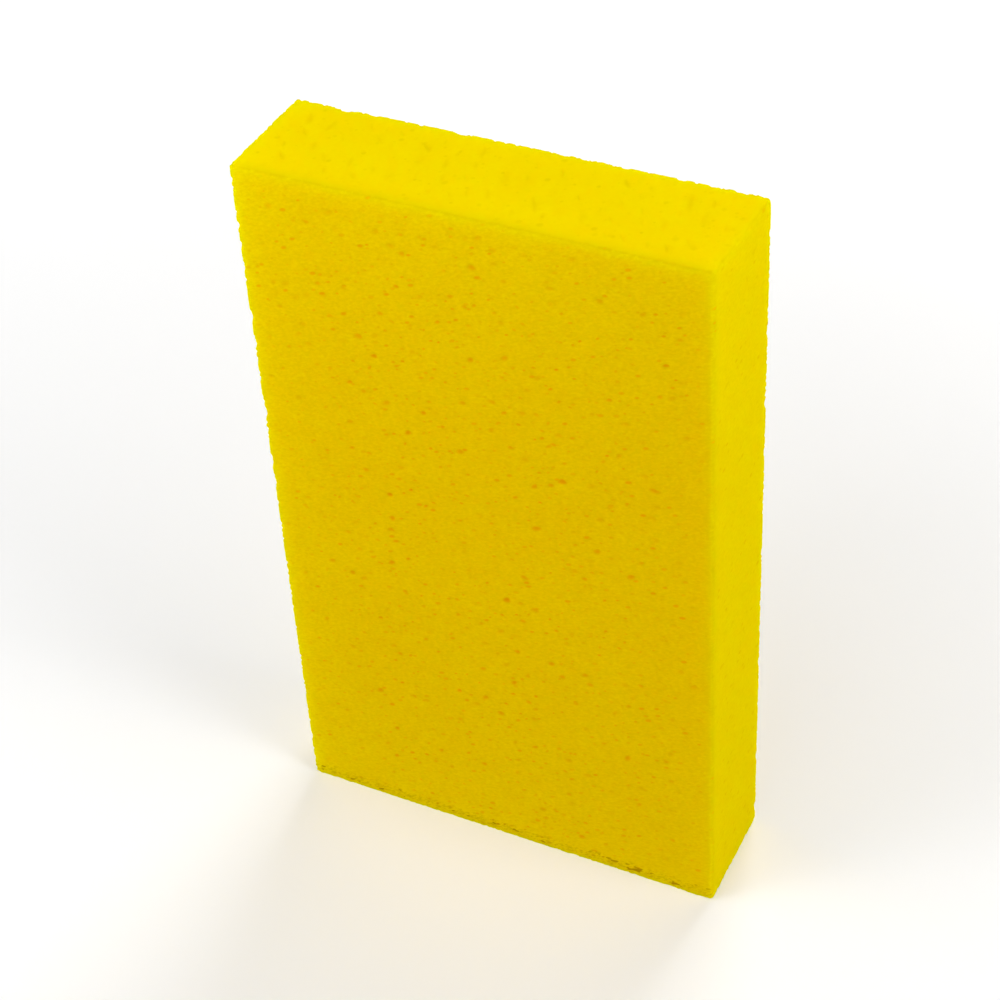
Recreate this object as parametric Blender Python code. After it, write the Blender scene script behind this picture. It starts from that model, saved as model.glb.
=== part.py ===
"""A decorator's foam sponge: one rectangular block of open-cell foam, standing on its short end.

+X runs along the width, +Y through the thickness and +Z up the height. The origin is the middle
of the end that the block stands on, and the broad working face looks towards -Y.
"""

import math
import random

import bmesh
import bpy
from mathutils import Matrix, Vector

# The cut block.
BLOCK_WIDTH = 0.150
BLOCK_THICKNESS = 0.040
BLOCK_HEIGHT = 0.250
EDGE_RADIUS = 0.0016
EDGE_SEGMENTS = 4

# The foam's large open cells. Each one is longest along the rise of the foam as it was blown,
# which runs nearly through the thickness, so the broad faces cut the cells nearly round.
RISE_DIRECTION = Vector((0.46, -0.88, 0.16)).normalized()
CELL_RADIUS_MIN = 0.0009
CELL_RADIUS_MAX = 0.0016
CELL_STRETCH = 1.7
CELL_SIDES = 8
CELL_RINGS = 6
AREA_PER_CELL = 0.00085
CELL_SINK = 0.35
CELL_EDGE_MARGIN = 0.0045
CELL_SPACING = 0.0065
MOUNT_CLEARANCE = 0.0080
MAX_TRIES = 4000
CELL_SEED = 7

# The foam's look: a warm, matt yellow.
FOAM_COLOR = (0.86, 0.63, 0.01, 1.0)
FOAM_ROUGHNESS = 0.95
SHARP_ANGLE = math.radians(28)


def clear_scene():
    for obj in list(bpy.data.objects):
        bpy.data.objects.remove(obj, do_unlink=True)


def foam_material():
    """Matt yellow foam."""
    material = bpy.data.materials.new("foam")
    material.use_nodes = True
    shader = material.node_tree.nodes["Principled BSDF"]
    shader.inputs["Base Color"].default_value = FOAM_COLOR
    shader.inputs["Roughness"].default_value = FOAM_ROUGHNESS
    shader.inputs["Metallic"].default_value = 0.0
    return material


def new_object(name, bm):
    """An object that holds the bmesh's shape, shaded smooth."""
    mesh = bpy.data.meshes.new(name)
    bm.to_mesh(mesh)
    bm.free()
    mesh.shade_smooth()
    obj = bpy.data.objects.new(name, mesh)
    bpy.context.scene.collection.objects.link(obj)
    return obj


def cut_block():
    """The block as it comes off the cutting blade, with slightly soft edges."""
    bm = bmesh.new()
    bmesh.ops.create_cube(bm, size=1.0)
    bmesh.ops.scale(bm, vec=(BLOCK_WIDTH, BLOCK_THICKNESS, BLOCK_HEIGHT), verts=bm.verts)
    bmesh.ops.translate(bm, vec=(0.0, 0.0, BLOCK_HEIGHT / 2), verts=bm.verts)
    bmesh.ops.bevel(
        bm,
        geom=bm.edges[:],
        offset=EDGE_RADIUS,
        offset_type="OFFSET",
        segments=EDGE_SEGMENTS,
        profile=0.5,
        affect="EDGES",
    )
    return new_object("foam_block", bm)


def block_faces():
    """Each face of the block as its centre, outward normal, and two half-extents along the face."""
    half = Vector((BLOCK_WIDTH, BLOCK_THICKNESS, BLOCK_HEIGHT)) / 2
    middle = Vector((0.0, 0.0, BLOCK_HEIGHT / 2))
    axes = [Vector(row) for row in Matrix.Identity(3)]
    for i, normal_axis in enumerate(axes):
        j, k = (i + 1) % 3, (i + 2) % 3
        for side in (-1, 1):
            normal = normal_axis * side
            yield middle + normal * half[i], normal, axes[j] * half[j], axes[k] * half[k]


def open_cells(rng):
    """Centre and radius of each large cell that the cutting blade opened, face by face."""
    cells = []
    for centre, normal, along, across in block_faces():
        wanted = round(4 * along.length * across.length / AREA_PER_CELL)
        reach_along = 1 - CELL_EDGE_MARGIN / along.length
        reach_across = 1 - CELL_EDGE_MARGIN / across.length
        found = 0
        for _ in range(MAX_TRIES):
            if found == wanted:
                break
            radius = rng.uniform(CELL_RADIUS_MIN, CELL_RADIUS_MAX)
            spot = centre + along * rng.uniform(-reach_along, reach_along)
            spot += across * rng.uniform(-reach_across, reach_across)
            if (spot - centre).length < MOUNT_CLEARANCE:
                continue
            if any((spot - other).length < CELL_SPACING for other, _ in cells):
                continue
            cells.append((spot + normal * radius * rng.uniform(-CELL_SINK, CELL_SINK), radius))
            found += 1
    return cells


def cell_cutter(cells):
    """All the open cells as one wire-drawn cutter of egg-shaped solids, longest along the rise."""
    turn = RISE_DIRECTION.to_track_quat("Z", "Y").to_matrix().to_4x4()
    bm = bmesh.new()
    for centre, radius in cells:
        egg = Matrix.Diagonal((radius, radius, radius * CELL_STRETCH, 1.0))
        bmesh.ops.create_uvsphere(
            bm,
            u_segments=CELL_SIDES,
            v_segments=CELL_RINGS,
            radius=1.0,
            matrix=Matrix.Translation(centre) @ turn @ egg,
        )
    cutter = new_object("open_cell_cutter", bm)
    cutter.hide_render = True
    cutter.display_type = "WIRE"
    return cutter


def foam_block():
    """The block with its open cells cut away, as one finished mesh."""
    block = cut_block()
    cut = block.modifiers.new("open_cells", "BOOLEAN")
    cut.object = cell_cutter(open_cells(random.Random(CELL_SEED)))
    cut.operation = "DIFFERENCE"
    cut.solver = "EXACT"
    graph = bpy.context.evaluated_depsgraph_get()
    finished = bpy.data.meshes.new_from_object(block.evaluated_get(graph))
    block.modifiers.clear()
    block.data = finished
    finished.name = "foam_block"
    finished.set_sharp_from_angle(angle=SHARP_ANGLE)
    finished.materials.clear()
    finished.materials.append(foam_material())
    return block


clear_scene()
foam_block()
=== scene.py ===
"""Looks for the foam sponge block.

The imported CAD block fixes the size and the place. One finished foam body stands for it here, with
soft, slightly torn cut edges, a gently uneven surface and thousands of opened cells as real
hollows, in a procedural foam material. All lengths are in metres.
"""

import itertools
import math

import bpy
import numpy as np
from mathutils import Matrix, Vector, geometry, kdtree, noise


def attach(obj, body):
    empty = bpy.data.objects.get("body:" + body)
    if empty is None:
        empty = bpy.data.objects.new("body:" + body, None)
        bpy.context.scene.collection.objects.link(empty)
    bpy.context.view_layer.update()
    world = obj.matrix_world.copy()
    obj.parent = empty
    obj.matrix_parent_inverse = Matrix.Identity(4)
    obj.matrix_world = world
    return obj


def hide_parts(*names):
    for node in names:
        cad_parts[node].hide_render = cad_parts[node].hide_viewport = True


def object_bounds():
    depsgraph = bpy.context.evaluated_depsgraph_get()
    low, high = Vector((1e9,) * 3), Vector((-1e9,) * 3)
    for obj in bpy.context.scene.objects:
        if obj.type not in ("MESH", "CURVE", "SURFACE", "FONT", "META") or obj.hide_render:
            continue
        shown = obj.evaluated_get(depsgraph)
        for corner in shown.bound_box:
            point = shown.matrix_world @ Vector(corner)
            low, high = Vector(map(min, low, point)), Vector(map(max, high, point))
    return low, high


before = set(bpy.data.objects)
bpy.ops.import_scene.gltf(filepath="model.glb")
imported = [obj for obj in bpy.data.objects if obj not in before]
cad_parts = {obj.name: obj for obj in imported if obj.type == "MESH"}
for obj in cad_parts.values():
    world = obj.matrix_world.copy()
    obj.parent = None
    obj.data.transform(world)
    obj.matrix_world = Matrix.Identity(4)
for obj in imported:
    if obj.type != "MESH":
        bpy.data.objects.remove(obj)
CAD_LOW, CAD_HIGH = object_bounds()

MM = 0.001
NODE = "foam_block"
BODY = "root"
HALF = np.array(CAD_HIGH - CAD_LOW) / 2
CENTRE = np.array(CAD_HIGH + CAD_LOW) / 2
SEED = 20

# The foam's cells are longest along its rise, which runs nearly through the thickness, and a
# little flattened, so that the broad faces cut them as low ovals.
RISE = Vector((0.46, -0.88, 0.16)).normalized()
FLAT_WAY = Vector((0.94, 0.0, 0.34))
FLAT_WAY = (FLAT_WAY - RISE * FLAT_WAY.dot(RISE)).normalized()
CELL_FRAME = np.column_stack((FLAT_WAY, RISE.cross(FLAT_WAY), RISE))
CELL_SHAPE = np.array((1.6, 1.0, 2.6))

# Cut edges: how round they are, and how finely they are modelled. Each row of points beside an edge
# has its distance in from the edge and the step along it.
EDGE_RADIUS = 0.35 * MM
EDGE_RADIUS_SWING = 0.12 * MM
EDGE_RADIUS_SWING_SIZE = 11 * MM
CORNER_EXTRA_RADIUS = 0.2 * MM
CORNER_REACH = 3 * MM
WORN_CORNER = (1, 1, 1)
WORN_CORNER_RADIUS = 0.8 * MM
EDGE_STEP = 0.5 * MM
EDGE_ROWS = (
    (0.38 * MM, 0.6 * MM),
    (0.9 * MM, 0.9 * MM),
    (1.6 * MM, 1.3 * MM),
    (2.5 * MM, 2.0 * MM),
)
EDGE_JITTER = 0.3
FACE_STEP = 2.6 * MM
FACE_JITTER = 0.22

# How each cut edge shows in the colour, all of it painted light: painted shade beside it, darker
# painted shade in the crease itself, and a painted glow for some way in from it, as if light got
# through the foam. The first that fits is used.
EDGE_SHADE_AND_GLOW_LOOKS = (
    ({(1, -1), (2, 1)}, 1.0, 0.36, 0.05),
    ({(0, 1), (1, -1)}, 0.8, 0.35, 0.06),
    ({(0, 1), (2, 1)}, 0.3, 0.45, 0.08),
    ({(0, -1), (2, 1)}, 0.0, 0.0, 0.18),
    ({(1, 1), (2, 1)}, 0.25, 0.0, 0.08),
    ({(0, 1), (1, 1)}, 0.2, 0.0, 0.12),
    ({(2, -1)}, 0.0, 0.0, 0.09),
    (set(), 0.0, 0.0, 0.33),
)
EDGE_SHADE_REACH = 2.5 * MM
CREASE_SHADE_REACH = 1.5 * MM
GLOW_REACH = 9 * MM
# A painted glow near the upper and lower ends of the upright faces, as if light got through the
# foam.
END_GLOW = 0.30
END_GLOW_REACH = 33 * MM
NARROW_END_GLOW = 0.6
NARROW_CREASE_SHADE = 0.7
OFF_FLOOR_HEIGHT = 6 * MM

# Opened cells on the faces, by the axis that the face looks along: how many to a square metre, how
# strongly they show, and how large and how long they are.
BROAD_AXIS = 1
CELLS_PER_AREA = {0: 14000, 1: 64000, 2: 14500}
CELL_SHOW = {0: 0.42, 1: 1.05, 2: 0.31}
CELL_SHOW_SPREAD = (1.5, 2.4)
CELL_SIZE = {0: 1.0, 1: 1.0, 2: 1.7}
CELL_LENGTH = {0: 1.0, 1: 1.0, 2: 2.0}
CELL_RADIUS = 0.74 * MM
CELL_RADIUS_SPREAD = 0.33
CELL_RADIUS_LIMITS = (0.4 * MM, 1.5 * MM)

# On the broad faces the cells show less towards the upper and side edges, and least right
# beside any edge.
RIM_SHOW = 0.45
RIM_REACH = 48 * MM
CALM_REACH = 4 * MM
CALM_SHARE = 0.5

# How the cells crowd together in some places and keep clear of each other and of the edges.
CROWD_SIZE = 9 * MM
CROWD_LIMITS = (-0.6, 0.45)
CELL_TRIES = 40
CELL_ROOM = 1.15
CELL_EDGE_GAP = 1.6 * MM
CELL_MARGIN = 1.2
CELL_CLEARANCE = 0.45 * MM
NEAR = 4 * MM

# The shape of a cell. Each ring of points has its count, its size and depth as shares of the whole
# cell's, and how strongly it shows. Large cells are rounder.
LARGE_CELL = 1.05 * MM
LARGE_CELL_ROUNDING = 0.72
LARGE_RINGS = ((12, 1.0, 0.0, 0.05), (10, 0.74, 0.5, 0.5), (6, 0.38, 0.88, 0.9))
CELL_RINGS = ((8, 1.0, 0.0, 0.05), (4, 0.5, 0.78, 0.8))
FAINT_CELL = 0.36
FAINT_RINGS = ((6, 1.0, 0.0, 0.05),)
CELL_SLOPE = 0.45
FAINT_DEPTH = 0.55
CELL_LENGTH_SPREAD = (0.92, 1.15)
CELL_TURN = 0.25
CELL_LOBE = 0.13

# Torn nicks along the edges, small sharp ones and large leaning ones: the mean gap between them,
# the least and greatest radius, the least and greatest depth as a share of it, and how far they
# lean.
NICKS = (
    (3 * MM, (0.35 * MM, 0.70 * MM), (0.55, 1.15), 1.4),
    (15 * MM, (0.60 * MM, 1.40 * MM), (0.30, 0.60), 4.0),
)

# The deepest nicks that the photograph shows: the edge, how far along it each is, its radius, its
# depth, and how far it leans.
CLEAR_NICKS = (
    ({(1, 1), (2, 1)}, 0.105, 1.3 * MM, 1.0 * MM, 3.0),
    ({(0, -1), (1, -1)}, 0.980, 0.7 * MM, 0.75 * MM, 1.2),
    ({(0, -1), (1, -1)}, 0.968, 0.7 * MM, 0.75 * MM, 1.2),
    ({(0, -1), (1, -1)}, 0.745, 1.0 * MM, 0.80 * MM, 2.0),
)

# The three edges round the front's upper right corner are rounder than the rest.
SOFT_EDGES = ({(1, -1), (2, 1)}, {(0, 1), (1, -1)}, {(0, 1), (2, 1)})
SOFT_EDGE_EXTRA_RADIUS = 0.8 * MM
SOFT_EDGE_FADE = 8 * MM

# Edges that are less torn than the rest.
EDGE_TEARING = (
    ({(1, -1), (2, 1)}, 0.25),
    ({(0, 1), (1, -1)}, 0.25),
    ({(0, 1), (2, 1)}, 0.3),
    ({(0, -1), (2, 1)}, 0.45),
    ({(1, -1), (2, -1)}, 0.35),
)
PROUD = 0.2 * MM

# How the faces swell and dip: the height and the size of each kind of unevenness. Beside the edges
# the foam is ragged too, and less so along the soft ones.
SWELLS = ((0.08 * MM, 45 * MM), (0.04 * MM, 7 * MM), (0.03 * MM, 2.6 * MM))
RAGGED_HEIGHT = 0.11 * MM
RAGGED_SIZE = 1.4 * MM
RAGGED_REACH = (0.3 * MM, 2.4 * MM)
SOFT_EDGE_CALM = 0.7

# How far the foam's right end is from square, at its front and back lower and upper corners.
END_OUT = {(-1, -1): 0.45 * MM, (1, -1): 0.15 * MM, (-1, 1): -0.2 * MM, (1, 1): 0.7 * MM}


class Face:
    """One flat side of the block, with u and v measured from its middle."""

    def __init__(self, axis, side):
        self.axis = axis
        self.side = side
        self.u_axis = (axis + 1) % 3
        self.v_axis = (axis + 2) % 3
        self.half = np.array((HALF[self.u_axis], HALF[self.v_axis]))
        form = CELL_FRAME @ np.diag(CELL_SHAPE**-2.0) @ CELL_FRAME.T
        cut = form[np.ix_((self.u_axis, self.v_axis), (self.u_axis, self.v_axis))]
        sizes, ways = np.linalg.eigh(cut)
        self.long_way = ways[:, 0]
        self.stretch = math.sqrt(sizes[1] / sizes[0]) * CELL_LENGTH[axis]

    def place(self, uv):
        points = np.empty((len(uv), 3))
        points[:, self.axis] = self.side * HALF[self.axis]
        points[:, self.u_axis] = uv[:, 0]
        points[:, self.v_axis] = uv[:, 1]
        return points

    def flatten(self, points):
        return points[:, [self.u_axis, self.v_axis]]


def noise_field(points, size, offset=0.0):
    """Smooth noise from about -1 to 1, with features of the given size."""
    scaled = points / size + offset
    return np.array([noise.noise(Vector(p)) for p in scaled])


def smooth_step(low, high, values):
    share = np.clip((values - low) / (high - low), 0, 1)
    return share * share * (3 - 2 * share)


def jittered_line(rng, length, step):
    """Uneven steps from -length/2 to length/2, with both ends."""
    count = max(2, round(length / step))
    steps = np.linspace(-length / 2, length / 2, count + 1)
    steps[1:-1] += rng.uniform(-EDGE_JITTER, EDGE_JITTER, count - 1) * step
    return steps


def edge_rows(rng, face):
    """Rows of points beside the four edges of a face, close enough together to round them."""
    rows = []
    for inset, step in EDGE_ROWS:
        for k in (0, 1):
            for side in (-1, 1):
                along = jittered_line(rng, 2 * (face.half[k] - inset), step)[:-1]
                row = np.empty((len(along), 2))
                row[:, k] = along * side
                row[:, 1 - k] = side * (face.half[1 - k] - inset) * (1 if k == 0 else -1)
                rows.append(row)
    return np.concatenate(rows)


def face_grid(rng, face):
    """Slightly uneven hexagonal rows of points over the rest of a face."""
    reach = face.half - EDGE_ROWS[-1][0] - 0.6 * FACE_STEP
    across = np.arange(-reach[1], reach[1], FACE_STEP * math.sqrt(0.75))
    rows = []
    for n, v in enumerate(across):
        u = np.arange(-reach[0] + (n % 2) * FACE_STEP / 2, reach[0], FACE_STEP)
        rows.append(np.column_stack((u, np.full(len(u), v))))
    grid = np.concatenate(rows)
    return grid + rng.uniform(-FACE_JITTER, FACE_JITTER, grid.shape) * FACE_STEP


def rim_share(face, spot):
    """How much a cell shows at a spot on a face."""
    if face.axis != BROAD_AXIS:
        return 1.0
    from_edge = (face.half - abs(spot)).min()
    calm = CALM_SHARE * math.exp(-from_edge / CALM_REACH)
    from_rim = min(face.half[0] - spot[0], face.half[1] - abs(spot[1]))
    return (1 - calm) * (RIM_SHOW + (1 - RIM_SHOW) * smooth_step(0, RIM_REACH, from_rim))


def scatter_cells(rng, face):
    """Opened cells on a face: middles, radii, and how strongly each shows, from 0 to 1."""
    wanted = round(4 * face.half[0] * face.half[1] * CELLS_PER_AREA[face.axis])
    radii = CELL_RADIUS * np.exp(rng.normal(0, CELL_RADIUS_SPREAD, wanted))
    radii = np.sort(np.clip(radii, *CELL_RADIUS_LIMITS))[::-1] * CELL_SIZE[face.axis]
    taken = {}
    found = []
    for radius in radii:
        reach = face.half - radius * face.stretch - CELL_EDGE_GAP
        for _ in range(CELL_TRIES):
            spot = rng.uniform(-reach, reach)
            crowding = noise.noise(Vector((*spot, face.axis * face.side)) / CROWD_SIZE)
            if rng.uniform(*CROWD_LIMITS) > crowding:
                continue
            home = tuple(np.floor(spot / NEAR).astype(int))
            near = [
                other
                for step in itertools.product((-1, 0, 1), repeat=2)
                for other in taken.get((home[0] + step[0], home[1] + step[1]), ())
            ]
            room = face.stretch**0.5
            if any(math.dist(spot, o[:2]) < (radius + o[2]) * room * CELL_ROOM for o in near):
                continue
            taken.setdefault(home, []).append((*spot, radius))
            strength = rng.beta(*CELL_SHOW_SPREAD) * CELL_SHOW[face.axis] * rim_share(face, spot)
            found.append((*spot, radius, min(1.0, strength)))
            break
    return np.array(found)


def cell_rings(rng, face, cell):
    """Points over one opened cell, with how far each lies below the face and how much it shows."""
    middle, radius, strength = cell[:2], cell[2], cell[3]
    rounding = LARGE_CELL_ROUNDING if radius > LARGE_CELL and face.axis == BROAD_AXIS else 1
    stretch = face.stretch ** (0.5 * rounding)
    long_half = radius * stretch * rng.uniform(*CELL_LENGTH_SPREAD)
    short_half = radius / stretch
    if radius > LARGE_CELL:
        rings = LARGE_RINGS
    elif strength > FAINT_CELL:
        rings = CELL_RINGS
    else:
        rings = FAINT_RINGS
    depth = CELL_SLOPE * short_half * (FAINT_DEPTH + (1 - FAINT_DEPTH) * strength)
    turn = rng.normal(0, CELL_TURN)
    long_way = np.array(
        (
            face.long_way[0] * math.cos(turn) - face.long_way[1] * math.sin(turn),
            face.long_way[0] * math.sin(turn) + face.long_way[1] * math.cos(turn),
        )
    )
    short_way = np.array((-long_way[1], long_way[0]))
    lobes = rng.uniform(-CELL_LOBE, CELL_LOBE, 2)
    phases = rng.uniform(0, 2 * math.pi, 3)
    uv, sink, show = [middle[None]], [[depth]], [[strength]]
    for count, share, low, look in rings:
        angle = phases[0] + np.arange(count) * 2 * math.pi / count
        wobble = 1 + lobes[0] * np.cos(2 * angle + phases[1])
        wobble += lobes[1] * np.cos(3 * angle + phases[2])
        along = np.outer(np.cos(angle) * long_half * share * wobble, long_way)
        across = np.outer(np.sin(angle) * short_half * share * wobble, short_way)
        uv.append(middle + along + across)
        sink.append(np.full(count, depth * low))
        show.append(np.full(count, strength * look))
    return np.concatenate(uv), np.concatenate(sink), np.concatenate(show)


def clear_of_cells(uv, face, cells):
    """Which points lie outside every opened cell, with a little room to spare."""
    tree = kdtree.KDTree(len(cells))
    for n, cell in enumerate(cells):
        tree.insert((cell[0], cell[1], 0.0), n)
    tree.balance()
    widest = cells[:, 2].max() * face.stretch**0.5 * CELL_MARGIN + CELL_CLEARANCE
    short_way = np.array((-face.long_way[1], face.long_way[0]))
    keep = np.ones(len(uv), bool)
    for n, point in enumerate(uv):
        for _, index, _ in tree.find_range((*point, 0.0), widest):
            cell = cells[index]
            away = point - cell[:2]
            long_half = cell[2] * face.stretch**0.5 * CELL_MARGIN + CELL_CLEARANCE
            short_half = cell[2] / face.stretch**0.5 * CELL_MARGIN + CELL_CLEARANCE
            if (away @ face.long_way / long_half) ** 2 + (away @ short_way / short_half) ** 2 < 1:
                keep[n] = False
                break
    return uv[keep]


class Skin:
    """The block's surface: points on a sharp box, how far each lies below it, and triangles."""

    def __init__(self):
        self.points = []
        self.sink = []
        self.show = []
        self.triangles = []
        self.count = 0

    def add(self, points, sink=None, show=None):
        size = len(points)
        self.points.append(points)
        self.sink.append(np.zeros(size) if sink is None else sink)
        self.show.append(np.zeros(size) if show is None else show)
        self.count += size
        return np.arange(self.count - size, self.count)


def add_box_edges(rng, skin):
    """The block's 8 corners and the points along its 12 edges, which neighbouring faces share."""
    signs = list(itertools.product((-1, 1), repeat=3))
    corners = skin.add(np.array(signs) * HALF)
    corner_of = dict(zip(signs, corners))
    shared = []
    for axis in range(3):
        first, second = (axis + 1) % 3, (axis + 2) % 3
        for a, b in itertools.product((-1, 1), repeat=2):
            steps = jittered_line(rng, 2 * HALF[axis], EDGE_STEP)[1:-1]
            line = np.empty((len(steps), 3))
            line[:, axis] = steps
            line[:, first] = a * HALF[first]
            line[:, second] = b * HALF[second]
            shared.append(({(first, a), (second, b)}, skin.add(line)))
    return corner_of, shared


def add_face(rng, skin, face, corner_of, shared):
    """One side of the block: its share of the edges, its opened cells, and the surface between."""
    me = (face.axis, face.side)
    border = [index for sign, index in corner_of.items() if sign[face.axis] == face.side]
    border = np.concatenate([border] + [line for sides, line in shared if me in sides])
    cells = scatter_cells(rng, face)
    plain = np.concatenate((edge_rows(rng, face), face_grid(rng, face)))
    plain = clear_of_cells(plain, face, cells)
    indices = [border, skin.add(face.place(plain))]
    flat = [face.flatten(np.concatenate(skin.points)[border]), plain]
    for cell in cells:
        uv, sink, show = cell_rings(rng, face, cell)
        indices.append(skin.add(face.place(uv), sink, show))
        flat.append(uv)
    indices = np.concatenate(indices)
    flat = np.concatenate(flat)
    made = geometry.delaunay_2d_cdt([Vector(p) for p in flat], [], [], 0, 1e-8)
    source = np.array([indices[found[0]] for found in made[3]])
    triangles = source[np.array(made[2])]
    skin.triangles.append(triangles if face.side > 0 else triangles[:, ::-1])


def rounded(points):
    """Moves points of the sharp box onto one with soft edges.

    Gives the moved points, their outward directions, how far each is from the nearest edge, and
    whether it is at a soft edge.
    """
    depths = HALF - np.abs(points)
    order = np.sort(depths, axis=1)
    near_corner = 1 - smooth_step(0, CORNER_REACH, order[:, 2])
    radius = EDGE_RADIUS + EDGE_RADIUS_SWING * noise_field(points, EDGE_RADIUS_SWING_SIZE, 4.0)
    worn = (np.sign(points) == WORN_CORNER).all(axis=1)
    radius += np.where(worn, WORN_CORNER_RADIUS, CORNER_EXTRA_RADIUS) * near_corner
    soft = np.zeros(len(points))
    for sides in SOFT_EDGES:
        gap = np.max([HALF[axis] - side * points[:, axis] for axis, side in sides], axis=0)
        soft = np.maximum(soft, 1 - smooth_step(0.5 * CORNER_REACH, CORNER_REACH, gap))
    by_front_corner = (points[:, 0] > 0) & (points[:, 1] < 0) & (points[:, 2] > 0)
    soft *= np.where(by_front_corner, 1, smooth_step(0, SOFT_EDGE_FADE, order[:, 2]))
    radius += SOFT_EDGE_EXTRA_RADIUS * soft
    radius = radius[:, None]
    core = np.clip(points, radius - HALF, HALF - radius)
    out = points - core
    out /= np.linalg.norm(out, axis=1)[:, None]
    return core + out * radius, out, order[:, 1], soft


def edge_nicks(rng, sides, length):
    """The nicks along one cut edge: how far along each is, its radius, its depth and its lean."""
    tearing = next((share for edge, share in EDGE_TEARING if edge == sides), 1)
    for gap, radii, shares, most_lean in NICKS:
        at = rng.exponential(gap)
        while at < length:
            radius = rng.uniform(*radii)
            depth = rng.uniform(*shares) * radius * tearing
            yield at, radius, depth, rng.choice((-1, 1)) * rng.uniform(1, most_lean)
            at += radius + rng.exponential(gap)
    for edge, share, radius, depth, lean in CLEAR_NICKS:
        if edge == sides:
            yield share * length, radius, depth, lean


def torn_edges(rng, points, shared, box_points):
    """How the nicks along the cut edges move each point: steep one way, trailing off the other."""
    tree = kdtree.KDTree(len(points))
    for n, point in enumerate(points):
        tree.insert(point, n)
    tree.balance()
    depths = np.zeros(len(points))
    moves = np.zeros((len(points), 3))
    for sides, line in shared:
        inward = np.zeros(3)
        for axis, side in sides:
            inward[axis] = -side * math.sqrt(0.5)
        way = box_points[line[-1]] - box_points[line[0]]
        length = np.linalg.norm(way)
        way = way / length
        for at, radius, deepest, lean in edge_nicks(rng, sides, length):
            middle = points[line[min(len(line) - 1, int(at / length * len(line)))]]
            for _, index, _ in tree.find_range(middle, radius * abs(lean)):
                away = points[index] - middle
                run = away @ way
                reach = radius * (abs(lean) if run * lean > 0 else 1)
                depth = deepest * (1 - (run / reach) ** 2 - (away @ away - run**2) / radius**2)
                if depth > depths[index]:
                    depths[index] = depth
                    moves[index] = inward * depth
    return moves


def edge_shade_and_glow(points):
    """How much painted shade, painted shade in the creases and painted glow the cut edges give each
    point.
    """
    shade, crease_shade, pale = np.zeros((3, len(points)))
    box_sides = itertools.product(range(3), (-1, 1))
    for first, second in itertools.combinations(box_sides, 2):
        if first[0] == second[0]:
            continue
        look = next(look for look in EDGE_SHADE_AND_GLOW_LOOKS if look[0] <= {first, second})
        gaps = [HALF[axis] - points[:, axis] * side for axis, side in (first, second)]
        gap = np.max(gaps, axis=0)
        shade = np.maximum(shade, look[1] * np.exp(-gap / EDGE_SHADE_REACH))
        crease_shade = np.maximum(crease_shade, look[2] * np.exp(-gap / CREASE_SHADE_REACH))
        pale = np.maximum(pale, look[3] * np.exp(-gap / GLOW_REACH))
    return shade, crease_shade, pale


def out_of_square(points):
    """How far the right end leans out at each point, because foam isn't cut perfectly square."""
    share = points / HALF
    lean = np.zeros((len(points), 3))
    for (y, z), out in END_OUT.items():
        lean[:, 0] += out * (1 + y * share[:, 1]) * (1 + z * share[:, 2]) / 4
    lean[:, 0] *= (1 + share[:, 0]) / 2
    return lean


def foam_mesh():
    """The whole foam body: a block with its opened cells, uneven faces and torn edges."""
    rng = np.random.default_rng(SEED)
    skin = Skin()
    corner_of, shared = add_box_edges(rng, skin)
    for axis in range(3):
        for side in (-1, 1):
            add_face(rng, skin, Face(axis, side), corner_of, shared)
    box_points = np.concatenate(skin.points)
    points, out, from_edge, soft = rounded(box_points)
    moves = torn_edges(rng, points, shared, box_points)
    swell = sum(height * noise_field(points, size) for height, size in SWELLS)
    at_edge = 1 - smooth_step(*RAGGED_REACH, from_edge)
    ragged = RAGGED_HEIGHT * noise_field(points, RAGGED_SIZE, 9.0)
    ragged *= at_edge * (1 - SOFT_EDGE_CALM * soft)
    inward = np.concatenate(skin.sink) - swell - ragged
    co = CENTRE + points - out * inward[:, None] + moves
    co = np.clip(co, np.array(CAD_LOW) - PROUD, np.array(CAD_HIGH) + PROUD)
    co[:, 2] = np.maximum(co[:, 2], CAD_LOW.z)
    co += out_of_square(points)
    mesh = bpy.data.meshes.new(NODE)
    triangles = np.concatenate(skin.triangles)
    mesh.from_pydata(co, [], triangles)
    store(mesh, "cell", np.concatenate(skin.show))
    store_looks(mesh, points, out, from_edge)
    mesh.shade_smooth()
    mesh.validate()
    return mesh


def store(mesh, name, values):
    """A value for each point, which the material reads by name."""
    attribute = mesh.attributes.new(name, "FLOAT", "POINT")
    attribute.data.foreach_set("value", values.astype(np.float32))


def store_looks(mesh, points, out, from_edge):
    """What the material needs to know about where each point lies on the block, with the painted
    shade and painted glow along the cut edges.
    """
    shade, crease_shade, pale = edge_shade_and_glow(points)
    broad = np.abs(out[:, BROAD_AXIS])
    off_floor = smooth_step(0, OFF_FLOOR_HEIGHT, HALF[2] + points[:, 2])
    # Painted shade beside the cut edges and darker painted shade in their creases, both faded out
    # near the floor; a painted glow near the edges and the ends.
    edge = shade * off_floor
    crease_shade = crease_shade * off_floor * (NARROW_CREASE_SHADE + (1 - NARROW_CREASE_SHADE) * broad)
    end_glow = END_GLOW * np.exp(-(HALF[2] - np.abs(points[:, 2])) / END_GLOW_REACH)
    end_glow *= (1 - np.abs(out[:, 2])) * (NARROW_END_GLOW + (1 - NARROW_END_GLOW) * broad)
    store(mesh, "end_on", np.abs(out @ np.array(RISE)))
    store(mesh, "edge", edge)
    store(mesh, "crease_shade", crease_shade)
    store(mesh, "pale", pale + end_glow)
    # Painted shade along the cut edges towards the back.
    store(mesh, "far_edge_shade", edge * smooth_step(-0.5 * HALF[1], 0.5 * HALF[1], points[:, 1]))
    store(mesh, "broad", broad)
    store(mesh, "calm", CALM_SHARE * broad * np.exp(-from_edge / CALM_REACH))


# Material

# The faces that cut the cells across are more orange than the others: partly the cells seen end-on,
# and partly painted shade from the cells' self-shadowing.
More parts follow.
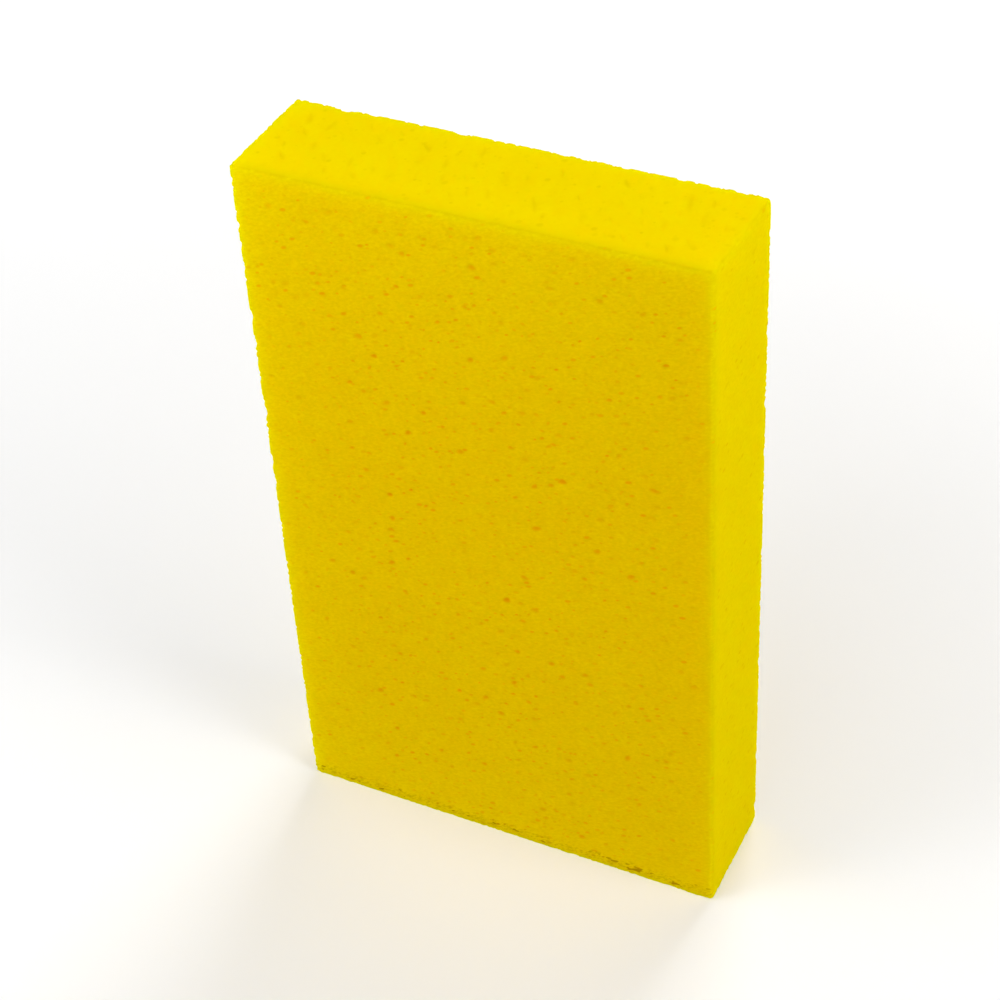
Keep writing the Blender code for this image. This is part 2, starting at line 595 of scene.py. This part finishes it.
SIDE_YELLOW = (0.90, 0.67, 0.0, 1.0)
FACE_YELLOW = (0.90, 0.60, 0.0, 1.0)
# Painted light: the glow beside the cut edges and ends, and the pale flecks.
PAINTED_LIGHT_YELLOW = (0.95, 0.82, 0.0, 1.0)
# A painted highlight along the foot, against the shade where the block meets the floor.
FOOT_HIGHLIGHT = (1.0, 0.90, 0.0, 1.0)
FOOT_HIGHLIGHT_SHARE = 0.9
FOOT_HIGHLIGHT_HEIGHT = 1.4 * MM
NARROW_FOOT_HIGHLIGHT_HEIGHT = 2.0 * MM
# Painted shade along the cut edges and in their creases.
EDGE_SHADE_OLIVE = (0.54, 0.42, 0.0, 1.0)
EDGE_SHADE_LEMON = (0.69, 0.54, 0.0, 1.0)
EDGE_SHADE_SHARE = 0.5
FAR_EDGE_SHADE_SHARE = 0.2
SHADE = (0.64, 0.45, 0.0, 1.0)
# Painted shade inside the opened cells; the ochre also colours the broad patches and the painted
# shade at the far edges.
OCHRE_SHADE_AND_PATCHES = (0.87, 0.33, 0.0, 1.0)
FAINT_CELL_SHADE = (0.76, 0.42, 0.0, 1.0)
CELL_SHADE_OLIVE = (0.68, 0.48, 0.0, 1.0)
# Dark specks just above the foot, and painted shade: a darker band just above the foot and a faint
# darkening towards the bottom of the block.
DARK_SPECK_AND_SHADE = (0.34, 0.14, 0.0, 1.0)
LOW_SHADE = 0.06
LOW_SHADE_HEIGHT = 130 * MM

# Opened cells too small to model, drawn only as painted shade and a bump: the spacing of each size
# through the foam, the widest radius, and how strongly it shows.
SMALL_CELLS = ((2.4 * MM, 0.85 * MM, 0.84), (1.4 * MM, 0.48 * MM, 0.44))

# Fine streaks of painted shade and pale flecks of painted highlight, for the foam's fine relief,
# and the dark specks along the foot.
STREAKS_PER_LENGTH = 1.25 / MM
STREAK_SHAPE = (2.0, 1.0, 1.7)
STREAK_SHADE_SHARE = 0.04
END_ON_STREAK_SHADE_SHARE = 0.19
FLECK_HIGHLIGHT_SHARE = 0.18
PATCHES_PER_LENGTH = 0.04 / MM
PATCH_SHARE = 0.04
SPECKS_PER_LENGTH = 0.55 / MM
SPECK_SHARE = 0.75
SPECKS_START = (0.6 * MM, 2.0 * MM)
SPECKS_END = (3 * MM, 7 * MM)
RELIEF_DEPTH = 0.3 * MM
STREAK_RELIEF = -0.6

# How squarely the foam's cells must be cut to look cut across, and how strongly the painted shade
# in them colours it.
END_ON_LIMITS = (0.16, 0.75)
CELL_SHADE_SHARE = 0.9

# How far light goes into the foam, and each colour's share of that.
LIGHT_REACH = 8.0 * MM
LIGHT_REACH_BY_COLOR = (0.8, 1.0, 0.1)


def add_node(tree, kind, inputs, **settings):
    """A shader node with its settings, and each input given as a value or as another's output."""
    node = tree.nodes.new("ShaderNode" + kind)
    for name, value in settings.items():
        setattr(node, name, value)
    for key, value in inputs.items():
        if isinstance(value, bpy.types.NodeSocket):
            tree.links.new(value, node.inputs[key])
        else:
            node.inputs[key].default_value = value
    return node


def attribute_value(tree, name):
    return add_node(tree, "Attribute", {}, attribute_name=name).outputs["Fac"]


def mixed_color(tree, share, first, second):
    node = add_node(
        tree, "Mix", {"Factor": share}, data_type="RGBA", blend_type="MIX", clamp_factor=True
    )
    for socket, value in ((node.inputs[6], first), (node.inputs[7], second)):
        if isinstance(value, bpy.types.NodeSocket):
            tree.links.new(value, socket)
        else:
            socket.default_value = value
    return node.outputs[2]


def math_value(tree, operation, first, second=0.0, third=0.0):
    return add_node(tree, "Math", {0: first, 1: second, 2: third}, operation=operation).outputs[0]


def ramp_value(tree, value, low, high, to_low=0.0, to_high=1.0):
    inputs = {"Value": value, "From Min": low, "From Max": high}
    inputs |= {"To Min": to_low, "To Max": to_high}
    return add_node(tree, "MapRange", inputs, interpolation_type="SMOOTHSTEP").outputs["Result"]


def along(tree, place, shape):
    """The place in the foam, drawn out along the rise and the flat way as the foam's cells are."""
    turn = Matrix(CELL_FRAME.tolist()).to_euler()
    inputs = {"Vector": place, "Rotation": turn, "Scale": shape}
    return add_node(tree, "Mapping", inputs, vector_type="TEXTURE").outputs["Vector"]


def cut_cells(tree, place, spacing, widest):
    """Scattered round hollows, from 0 to 1, each with its own size and strength."""
    inputs = {"Vector": place, "Scale": 1 / spacing, "Randomness": 1.0}
    cells = add_node(tree, "TexVoronoi", inputs)
    own = add_node(tree, "SeparateColor", {"Color": cells.outputs["Color"]}).outputs
    reach = ramp_value(tree, own["Red"], 0.0, 1.0, 0.5 * widest / spacing, widest / spacing)
    inside = math_value(tree, "DIVIDE", cells.outputs["Distance"], reach)
    strength = math_value(tree, "POWER", own["Green"], 1.3)
    return math_value(tree, "MULTIPLY", ramp_value(tree, inside, 0.35, 1.0, 1.0, 0.0), strength)


def noise_value(tree, place, scale, detail, roughness=0.5):
    inputs = {"Vector": place, "Scale": scale, "Detail": detail, "Roughness": roughness}
    return add_node(tree, "TexNoise", inputs).outputs["Fac"]


def product(tree, first, second):
    return math_value(tree, "MULTIPLY", first, second)


def largest(tree, first, second):
    return math_value(tree, "MAXIMUM", first, second)


def opened_cells(tree, drawn, end_on):
    """How strongly an opened cell shows: the modelled ones, and the ones too small to model."""
    cell = attribute_value(tree, "cell")
    lively = math_value(tree, "SUBTRACT", 1.0, attribute_value(tree, "calm"))
    show = math_value(tree, "MULTIPLY_ADD", end_on, 0.5, 0.5)
    for spacing, widest, strength in SMALL_CELLS:
        small = product(tree, cut_cells(tree, drawn, spacing, widest), strength)
        small = product(tree, small, lively)
        cell = largest(tree, cell, product(tree, small, show))
    return cell


def cut_face_color(tree, end_on, broad):
    """The plain foam, more orange on the faces that cut the cells across, with painted shade darker
    and greener beside the edges and in the creases, painted ochre shade towards the far edges, and
    a painted glow where light gets through.
    """
    color = mixed_color(tree, end_on, SIDE_YELLOW, FACE_YELLOW)
    edge_shade_color = mixed_color(tree, ramp_value(tree, broad, 0.5, 1.05), EDGE_SHADE_OLIVE, EDGE_SHADE_LEMON)
    edge = product(tree, attribute_value(tree, "edge"), EDGE_SHADE_SHARE)
    color = mixed_color(tree, edge, color, edge_shade_color)
    color = mixed_color(tree, attribute_value(tree, "crease_shade"), color, EDGE_SHADE_OLIVE)
    color = mixed_color(tree, attribute_value(tree, "pale"), color, PAINTED_LIGHT_YELLOW)
    # Painted ochre shade at the cut edges towards the back.
    far_edge_shade = product(tree, attribute_value(tree, "far_edge_shade"), FAR_EDGE_SHADE_SHARE)
    return mixed_color(tree, far_edge_shade, color, OCHRE_SHADE_AND_PATCHES)


def with_texture(tree, color, place, streaks, end_on):
    """Painted shade in fine streaks and painted highlights in pale flecks, for the foam's fine
    relief, and the foam's broad patches of tone.
    """
    # Painted shade in the fine streaks and painted highlights in the pale flecks.
    streak_shade = math_value(tree, "MULTIPLY_ADD", end_on, END_ON_STREAK_SHADE_SHARE, STREAK_SHADE_SHARE)
    streak_shade = product(tree, ramp_value(tree, streaks, 0.35, 0.7), streak_shade)
    color = mixed_color(tree, streak_shade, color, SHADE)
    fleck_highlight = product(tree, ramp_value(tree, streaks, 0.28, 0.44, FLECK_HIGHLIGHT_SHARE, 0.0), end_on)
    color = mixed_color(tree, fleck_highlight, color, PAINTED_LIGHT_YELLOW)
    patches = noise_value(tree, place, PATCHES_PER_LENGTH, 2.0)
    patch = ramp_value(tree, patches, 0.35, 0.65, 0.0, PATCH_SHARE)
    return mixed_color(tree, patch, color, OCHRE_SHADE_AND_PATCHES)


def with_cells(tree, color, cell, end_on):
    """Painted shade in the opened cells: ochre on the faces that cut them across, olive on the
    others.
    """
    cell_shade_color = mixed_color(tree, ramp_value(tree, cell, 0.1, 0.5), FAINT_CELL_SHADE, OCHRE_SHADE_AND_PATCHES)
    cell_shade_color = mixed_color(tree, end_on, CELL_SHADE_OLIVE, cell_shade_color)
    return mixed_color(tree, product(tree, cell, CELL_SHADE_SHARE), color, cell_shade_color)


def with_foot(tree, color, place, drawn, streaks, cell, broad):
    """The foot of the block: a painted highlight along its bottom edge, dark specks and a band of
    painted shade just above it, and painted shade that fades out further up.
    """
    height = add_node(tree, "SeparateXYZ", {"Vector": place}).outputs["Z"]
    # A painted highlight along the foot, against the shade where the block meets the floor.
    lip_top = ramp_value(tree, broad, 0.4, 0.9, NARROW_FOOT_HIGHLIGHT_HEIGHT, FOOT_HIGHLIGHT_HEIGHT)
    lip_highlight = ramp_value(tree, height, 0.2 * MM, lip_top, FOOT_HIGHLIGHT_SHARE, 0.0)
    color = mixed_color(tree, lip_highlight, color, FOOT_HIGHLIGHT)
    # A band of painted contact shade just above the foot, with dark specks.
    low_down = ramp_value(tree, height, *SPECKS_START)
    low_down = product(tree, low_down, ramp_value(tree, height, *SPECKS_END, 1.0, 0.0))
    low_down = product(tree, low_down, ramp_value(tree, broad, 0.4, 0.9, 0.08, 1.0))
    specks = noise_value(tree, drawn, SPECKS_PER_LENGTH, 1.0)
    speck = ramp_value(tree, specks, 0.61, 0.68, 0.0, SPECK_SHARE)
    specks_and_foot_shade = largest(tree, product(tree, cell, CELL_SHADE_SHARE), speck)
    specks_and_foot_shade = largest(tree, specks_and_foot_shade, ramp_value(tree, streaks, 0.4, 0.7, 0.05, 0.32))
    # Painted shade, faintly darker towards the bottom of the block.
    haze = ramp_value(tree, height, 0.0, LOW_SHADE_HEIGHT, LOW_SHADE, 0.0)
    return mixed_color(tree, largest(tree, product(tree, low_down, specks_and_foot_shade), haze), color, DARK_SPECK_AND_SHADE)


def foam_material():
    """Matt yellow foam that light goes into."""
    material = bpy.data.materials.new("yellow_foam")
    material.use_nodes = True
    tree = material.node_tree
    shader = tree.nodes["Principled BSDF"]
    place = add_node(tree, "TexCoord", {}).outputs["Object"]
    drawn = along(tree, place, STREAK_SHAPE)
    streaks = noise_value(tree, drawn, STREAKS_PER_LENGTH, 2.0, 0.6)
    end_on = ramp_value(tree, attribute_value(tree, "end_on"), *END_ON_LIMITS)
    broad = attribute_value(tree, "broad")
    cell = opened_cells(tree, drawn, end_on)
    color = cut_face_color(tree, end_on, broad)
    color = with_texture(tree, color, place, streaks, end_on)
    color = with_cells(tree, color, cell, end_on)
    color = with_foot(tree, color, place, drawn, streaks, cell, broad)
    relief = product(tree, streaks, STREAK_RELIEF)
    relief = math_value(tree, "MULTIPLY_ADD", cell, -1.0, relief)
    bump = add_node(tree, "Bump", {"Height": relief, "Distance": RELIEF_DEPTH, "Strength": 0.5})
    tree.links.new(color, shader.inputs["Base Color"])
    tree.links.new(ramp_value(tree, streaks, 0.3, 0.7, 0.88, 1.0), shader.inputs["Roughness"])
    tree.links.new(bump.outputs["Normal"], shader.inputs["Normal"])
    shader.inputs["Specular IOR Level"].default_value = 0.0
    shader.inputs["Subsurface Weight"].default_value = 1.0
    shader.inputs["Subsurface Radius"].default_value = LIGHT_REACH_BY_COLOR
    shader.inputs["Subsurface Scale"].default_value = LIGHT_REACH
    return material


def foam_body():
    body = bpy.data.objects.new("foam_body", foam_mesh())
    bpy.context.scene.collection.objects.link(body)
    body.data.materials.append(foam_material())
    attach(body, BODY)
    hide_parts(NODE)
    return body


# Floor, light and camera

FLOOR_SIZE = 6.0
FLOOR_WHITE = (0.96, 0.96, 0.96, 1.0)
FLOOR_DROP = 0.05 * MM

# A faint glow keeps the floor near white without more light on the block. The camera alone sees
# the floor fade to white over the reach.
FLOOR_GLOW = 0.07
FLOOR_HAZE_REACH = 1.5


def floor_glow(tree):
    """The floor's glow. The camera alone also sees it turn white with distance, like the room."""
    place = add_node(tree, "TexCoord", {}).outputs["Object"]
    distance = add_node(tree, "VectorMath", {0: place}, operation="LENGTH").outputs["Value"]
    seen = add_node(tree, "LightPath", {}).outputs["Is Camera Ray"]
    haze = ramp_value(tree, distance, 0.0, FLOOR_HAZE_REACH)
    return math_value(tree, "MULTIPLY_ADD", haze, seen, FLOOR_GLOW)


def floor():
    mesh = bpy.data.meshes.new("floor")
    half = FLOOR_SIZE / 2
    corners = [(-half, -half, 0), (half, -half, 0), (half, half, 0), (-half, half, 0)]
    mesh.from_pydata(corners, [], [(0, 1, 2, 3)])
    obj = bpy.data.objects.new("floor", mesh)
    bpy.context.scene.collection.objects.link(obj)
    material = bpy.data.materials.new("pale_floor")
    material.use_nodes = True
    shader = material.node_tree.nodes["Principled BSDF"]
    shader.inputs["Base Color"].default_value = FLOOR_WHITE
    shader.inputs["Roughness"].default_value = 1.0
    shader.inputs["Specular IOR Level"].default_value = 0.0
    shader.inputs["Emission Color"].default_value = FLOOR_WHITE
    glow = floor_glow(material.node_tree)
    material.node_tree.links.new(glow, shader.inputs["Emission Strength"])
    mesh.materials.append(material)
    obj.location.z = -FLOOR_DROP


# Soft boxes round the block: where each stands from its middle, how wide it is, and its power.
SOFT_BOXES = {
    "key_left": ((-0.45, -0.30, 0.42), 0.4, 0.95),
    "key_right": ((0.55, -0.10, 0.40), 0.4, 1.52),
    "close_left": ((-0.20, -0.30, 0.38), 0.25, 0.63),
    "close_right": ((0.30, -0.05, 0.38), 0.25, 0.13),
    "fill_front": ((0.00, -1.00, 0.50), 0.7, 1.92),
    "fill_right": ((1.00, -0.10, 0.50), 0.7, 1.34),
    "fill_left": ((-1.00, 0.00, 0.60), 0.7, 1.45),
    "back": ((0.00, 1.00, 0.80), 0.7, 8.1),
}
ROOM_LIGHT = 0.07
ROOM_PALE = 1.0


def soft_box(name, offset, size, power):
    light = bpy.data.lights.new(name, "AREA")
    light.shape = "DISK"
    light.size = size
    light.energy = power
    obj = bpy.data.objects.new(name, light)
    bpy.context.scene.collection.objects.link(obj)
    obj.location = Vector(CENTRE) + Vector(offset)
    obj.rotation_euler = Vector(offset).to_track_quat("Z", "Y").to_euler()
    obj.visible_camera = False


def room():
    """An even pale room: what it lights is dimmer than how it looks."""
    world = bpy.data.worlds.new("studio")
    bpy.context.scene.world = world
    world.use_nodes = True
    background = world.node_tree.nodes["Background"]
    background.inputs["Color"].default_value = (1.0, 1.0, 1.0, 1.0)
    seen = add_node(world.node_tree, "LightPath", {}).outputs["Is Camera Ray"]
    strength = ramp_value(world.node_tree, seen, 0.0, 1.0, ROOM_LIGHT, ROOM_PALE)
    world.node_tree.links.new(strength, background.inputs["Strength"])


def lights():
    room()
    for name, (offset, size, power) in SOFT_BOXES.items():
        soft_box(name, offset, size, power)


CAMERA_LENS = 86.17
CAMERA_SENSOR = 36.0
CAMERA_DISTANCE = 0.753
CAMERA_AZIMUTH = math.radians(28.34)
CAMERA_ELEVATION = math.radians(39.66)
CAMERA_ROLL = math.radians(3.87)
CAMERA_AIM = Vector(CENTRE) + Vector((-5.66, 1.65, 5.0)) * MM


def camera():
    data = bpy.data.cameras.new("camera")
    data.lens = CAMERA_LENS
    data.sensor_width = CAMERA_SENSOR
    data.clip_start = 0.01
    obj = bpy.data.objects.new("camera", data)
    bpy.context.scene.collection.objects.link(obj)
    flat = math.cos(CAMERA_ELEVATION)
    back = Vector(
        (
            math.sin(CAMERA_AZIMUTH) * flat,
            -math.cos(CAMERA_AZIMUTH) * flat,
            math.sin(CAMERA_ELEVATION),
        )
    )
    turn = back.to_track_quat("Z", "Y").to_matrix() @ Matrix.Rotation(-CAMERA_ROLL, 3, "Z")
    obj.matrix_world = Matrix.Translation(CAMERA_AIM + back * CAMERA_DISTANCE) @ turn.to_4x4()
    bpy.context.scene.camera = obj


bpy.context.scene.view_settings.view_transform = "Standard"
foam_body()
floor()
lights()
camera()
